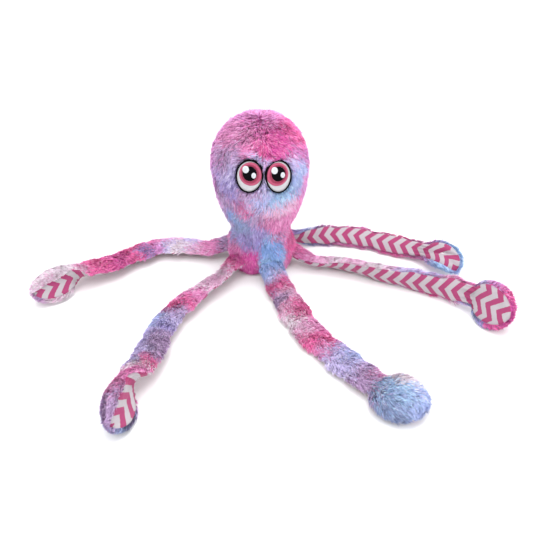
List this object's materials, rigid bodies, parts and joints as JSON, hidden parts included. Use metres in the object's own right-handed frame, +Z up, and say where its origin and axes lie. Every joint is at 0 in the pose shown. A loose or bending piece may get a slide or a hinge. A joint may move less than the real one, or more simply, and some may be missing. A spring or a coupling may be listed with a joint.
{
  "type": "octopus soft toy",
  "caption": "Stuffed fur octopus with a plump head, embroidered eyes and long flat floppy legs of fur and chevron cotton that end in padded round paddles.",
  "frame": {"origin": "middle of the flat base that the body sits on", "axes": "+Z up, the face looks towards -Y, +X to the right of someone looking at the face"},
  "size_m": [0.5498, 0.3577, 0.2015],
  "materials": {
    "head_fur": "long-pile tie-dyed faux fur, pink, magenta, lilac and blue",
    "leg_fur": "long-pile tie-dyed faux fur, pink, lilac and blue",
    "printed_cotton": "plain-weave cotton printed with rose and off-white zigzags",
    "black_thread": "black satin-stitch embroidery",
    "white_thread": "white satin-stitch embroidery",
    "rose_thread": "rose satin-stitch embroidery, lighter towards the rim",
    "filling": "white polyester fibre filling, not visible"
  },
  "bodies": {
    "body": {"fur_front_left": "head_fur", "fur_front_right": "head_fur", "fur_back_right": "head_fur", "fur_back_left": "head_fur", "base_panel": "head_fur", "body_filling": "filling", "eye_left_outline": "black_thread", "eye_left_white": "white_thread", "eye_left_iris": "rose_thread", "eye_left_pupil": "black_thread", "eye_left_highlight_large": "white_thread", "eye_left_highlight_small": "white_thread", "eye_right_outline": "black_thread", "eye_right_white": "white_thread", "eye_right_iris": "rose_thread", "eye_right_pupil": "black_thread", "eye_right_highlight_large": "white_thread", "eye_right_highlight_small": "white_thread"},
    "leg_a_root": {"leg_a_root": "leg_fur"},
    "leg_a_upper": {"leg_a_upper_fur": "leg_fur", "leg_a_upper_cotton": "printed_cotton"},
    "leg_a_lower": {"leg_a_lower_fur": "leg_fur", "leg_a_lower_cotton": "printed_cotton"},
    "leg_a_paddle": {"leg_a_paddle_fur": "leg_fur", "leg_a_paddle_cotton": "printed_cotton", "leg_a_paddle_filling": "filling"},
    "leg_b_root": {"leg_b_root": "leg_fur"},
    "leg_b_upper": {"leg_b_upper_fur": "leg_fur", "leg_b_upper_cotton": "printed_cotton"},
    "leg_b_lower": {"leg_b_lower_fur": "leg_fur", "leg_b_lower_cotton": "printed_cotton"},
    "leg_b_paddle": {"leg_b_paddle_fur": "leg_fur", "leg_b_paddle_cotton": "printed_cotton", "leg_b_paddle_filling": "filling"},
    "leg_c_root": {"leg_c_root": "leg_fur"},
    "leg_c_upper": {"leg_c_upper_fur": "leg_fur", "leg_c_upper_cotton": "printed_cotton"},
    "leg_c_lower": {"leg_c_lower_fur": "leg_fur", "leg_c_lower_cotton": "printed_cotton"},
    "leg_c_paddle": {"leg_c_paddle_fur": "leg_fur", "leg_c_paddle_cotton": "printed_cotton", "leg_c_paddle_filling": "filling"},
    "leg_d_root": {"leg_d_root": "leg_fur"},
    "leg_d_upper": {"leg_d_upper_fur": "leg_fur", "leg_d_upper_cotton": "printed_cotton"},
    "leg_d_lower": {"leg_d_lower_fur": "leg_fur", "leg_d_lower_cotton": "printed_cotton"},
    "leg_d_paddle": {"leg_d_paddle_fur": "leg_fur", "leg_d_paddle_cotton": "printed_cotton", "leg_d_paddle_filling": "filling"},
    "leg_e_root": {"leg_e_root": "leg_fur"},
    "leg_e_upper": {"leg_e_upper_fur": "leg_fur", "leg_e_upper_cotton": "printed_cotton"},
    "leg_e_lower": {"leg_e_lower_fur": "leg_fur", "leg_e_lower_cotton": "printed_cotton"},
    "leg_e_paddle": {"leg_e_paddle_fur": "leg_fur", "leg_e_paddle_cotton": "printed_cotton", "leg_e_paddle_filling": "filling"}
  },
  "joints": [
    {"name": "leg_a_swing", "type": "hinge", "parent": "body", "child": "leg_a_root", "pos_m": [-0.03574, 0.00958, 0.017], "axis": [0, 0, 1], "range_deg": [-20, 20]},
    {"name": "leg_a_lift", "type": "hinge", "parent": "leg_a_root", "child": "leg_a_upper", "pos_m": [-0.03574, 0.00958, 0.017], "axis": [-0.0191, 0.9998, 0], "range_deg": [-42, 45]},
    {"name": "leg_a_bend", "type": "hinge", "parent": "leg_a_upper", "child": "leg_a_lower", "pos_m": [-0.14648, 0.00911, 0.00728], "axis": [0.5409, -0.8056, 0.2418], "range_deg": [-85, 110]},
    {"name": "leg_a_curl", "type": "hinge", "parent": "leg_a_lower", "child": "leg_a_paddle", "pos_m": [-0.22146, -0.05218, 0.01798], "axis": [0.5273, -0.3944, 0.7526], "range_deg": [-85, 110]},
    {"name": "leg_b_swing", "type": "hinge", "parent": "body", "child": "leg_b_root", "pos_m": [-0.0257, -0.02662, 0.017], "axis": [0, 0, 1], "range_deg": [-20, 20]},
    {"name": "leg_b_lift", "type": "hinge", "parent": "leg_b_root", "child": "leg_b_upper", "pos_m": [-0.0257, -0.02662, 0.017], "axis": [-0.8175, 0.576, 0], "range_deg": [-42, 45]},
    {"name": "leg_b_bend", "type": "hinge", "parent": "leg_b_upper", "child": "leg_b_lower", "pos_m": [-0.1055, -0.1309, 0.00762], "axis": [0.8621, -0.3961, 0.316], "range_deg": [-85, 110]},
    {"name": "leg_b_curl", "type": "hinge", "parent": "leg_b_lower", "child": "leg_b_paddle", "pos_m": [-0.13199, -0.2391, 0.01999], "axis": [0.3077, 0.0318, 0.9509], "range_deg": [-80, 110]},
    {"name": "leg_c_swing", "type": "hinge", "parent": "body", "child": "leg_c_root", "pos_m": [0.0102, -0.03557, 0.017], "axis": [0, 0, 1], "range_deg": [-20, 20]},
    {"name": "leg_c_lift", "type": "hinge", "parent": "leg_c_root", "child": "leg_c_upper", "pos_m": [0.0102, -0.03557, 0.017], "axis": [-0.9382, -0.3462, 0], "range_deg": [-42, 45]},
    {"name": "leg_c_bend", "type": "hinge", "parent": "leg_c_upper", "child": "leg_c_lower", "pos_m": [0.05077, -0.15048, 0.005], "axis": [0.8975, 0.441, 0], "range_deg": [-85, 110]},
    {"name": "leg_c_curl", "type": "hinge", "parent": "leg_c_lower", "child": "leg_c_paddle", "pos_m": [0.11194, -0.23617, 0.00749], "axis": [0.7649, 0.6441, 0], "range_deg": [-85, 110]},
    {"name": "leg_d_swing", "type": "hinge", "parent": "body", "child": "leg_d_root", "pos_m": [0.03644, -0.00642, 0.017], "axis": [0, 0, 1], "range_deg": [-17, 4]},
    {"name": "leg_d_lift", "type": "hinge", "parent": "leg_d_root", "child": "leg_d_upper", "pos_m": [0.03644, -0.00642, 0.017], "axis": [-0.5442, -0.839, 0], "range_deg": [-38, 45]},
    {"name": "leg_d_bend", "type": "hinge", "parent": "leg_d_upper", "child": "leg_d_lower", "pos_m": [0.1468, -0.05791, 0.01449], "axis": [0.1796, 0.3073, -0.9345], "range_deg": [-15, 60]},
    {"name": "leg_d_curl", "type": "hinge", "parent": "leg_d_lower", "child": "leg_d_paddle", "pos_m": [0.23908, -0.10686, 0.02183], "axis": [-0.151, -0.3661, -0.9182], "range_deg": [-85, 110]},
    {"name": "leg_e_swing", "type": "hinge", "parent": "body", "child": "leg_e_root", "pos_m": [0.02476, 0.0275, 0.017], "axis": [0, 0, 1], "range_deg": [-4, 20]},
    {"name": "leg_e_lift", "type": "hinge", "parent": "leg_e_root", "child": "leg_e_upper", "pos_m": [0.02476, 0.0275, 0.017], "axis": [0.0706, -0.9975, 0], "range_deg": [-42, 45]},
    {"name": "leg_e_bend", "type": "hinge", "parent": "leg_e_upper", "child": "leg_e_lower", "pos_m": [0.12558, 0.03068, 0.013], "axis": [-0.2003, -0.7394, -0.6428], "range_deg": [-85, 62]},
    {"name": "leg_e_curl", "type": "hinge", "parent": "leg_e_lower", "child": "leg_e_paddle", "pos_m": [0.20414, -0.00614, 0.01558], "axis": [-0.3396, -0.6905, -0.6386], "range_deg": [-85, 45]}
  ]
}
